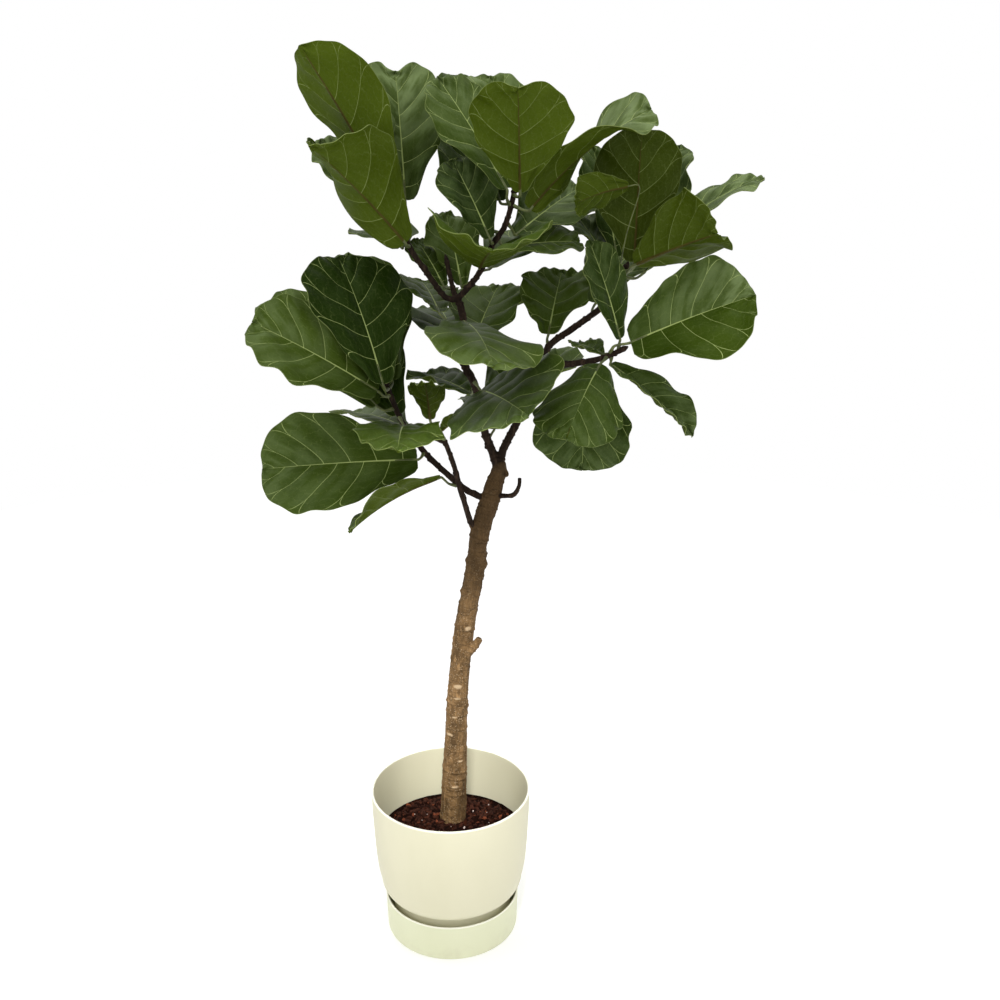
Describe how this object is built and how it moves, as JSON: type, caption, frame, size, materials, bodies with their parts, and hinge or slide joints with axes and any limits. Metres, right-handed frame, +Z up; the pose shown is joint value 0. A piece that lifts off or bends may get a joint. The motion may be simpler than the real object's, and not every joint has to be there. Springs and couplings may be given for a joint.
{
  "type": "potted fiddle leaf fig",
  "caption": "Branching fiddle leaf fig tree with broad leaves, planted in a round tapered pot that stands in a deep round water tray.",
  "frame": {"origin": "on the floor, at the centre of the tray's flat underside", "axes": "+Z up along the trunk, -Y towards the viewer, +X to the viewer's right"},
  "size_m": [0.8086, 0.5311, 1.5916],
  "materials": {
    "pot_plastic": "satin cream",
    "tray_plastic": "satin cream",
    "potting_mix": "loose, rough, dark brown bark mix",
    "bark": "rough brown bark, darker on the branches",
    "leaf": "leathery green with a soft sheen, olive underneath"
  },
  "bodies": {
    "root": {"leaf_back_1": "leaf", "leaf_back_2": "leaf", "leaf_back_3": "leaf", "leaf_back_4": "leaf", "leaf_back_5": "leaf", "leaf_inner_1": "leaf", "leaf_inner_2": "leaf", "leaf_inner_3": "leaf", "leaf_low_front_1": "leaf", "leaf_low_front_2": "leaf", "leaf_low_left_1": "leaf", "leaf_low_left_2": "leaf", "leaf_low_left_3": "leaf", "leaf_low_left_4": "leaf", "leaf_low_left_5": "leaf", "leaf_low_left_6": "leaf", "leaf_low_left_7": "leaf", "leaf_low_left_8": "leaf", "leaf_low_left_9": "leaf", "leaf_low_right_1": "leaf", "leaf_low_right_2": "leaf", "leaf_low_right_3": "leaf", "leaf_low_right_4": "leaf", "leaf_low_right_5": "leaf", "leaf_low_right_6": "leaf", "leaf_middle_1": "leaf", "leaf_middle_2": "leaf", "leaf_middle_3": "leaf", "leaf_middle_4": "leaf", "leaf_middle_5": "leaf", "leaf_right_1": "leaf", "leaf_right_2": "leaf", "leaf_right_3": "leaf", "leaf_right_4": "leaf", "leaf_right_5": "leaf", "leaf_right_6": "leaf", "leaf_right_7": "leaf", "leaf_right_8": "leaf", "leaf_top_1": "leaf", "leaf_top_10": "leaf", "leaf_top_2": "leaf", "leaf_top_3": "leaf", "leaf_top_4": "leaf", "leaf_top_5": "leaf", "leaf_top_6": "leaf", "leaf_top_7": "leaf", "leaf_top_8": "leaf", "leaf_top_9": "leaf", "leaf_upper_left_1": "leaf", "leaf_upper_left_2": "leaf", "leaf_upper_left_3": "leaf", "leaf_upper_left_4": "leaf", "leaf_upper_left_5": "leaf", "leaf_upper_left_6": "leaf", "pot": "pot_plastic", "potting_mix": "potting_mix", "trunk_and_branches": "bark", "water_tray": "tray_plastic"}
  },
  "joints": []
}
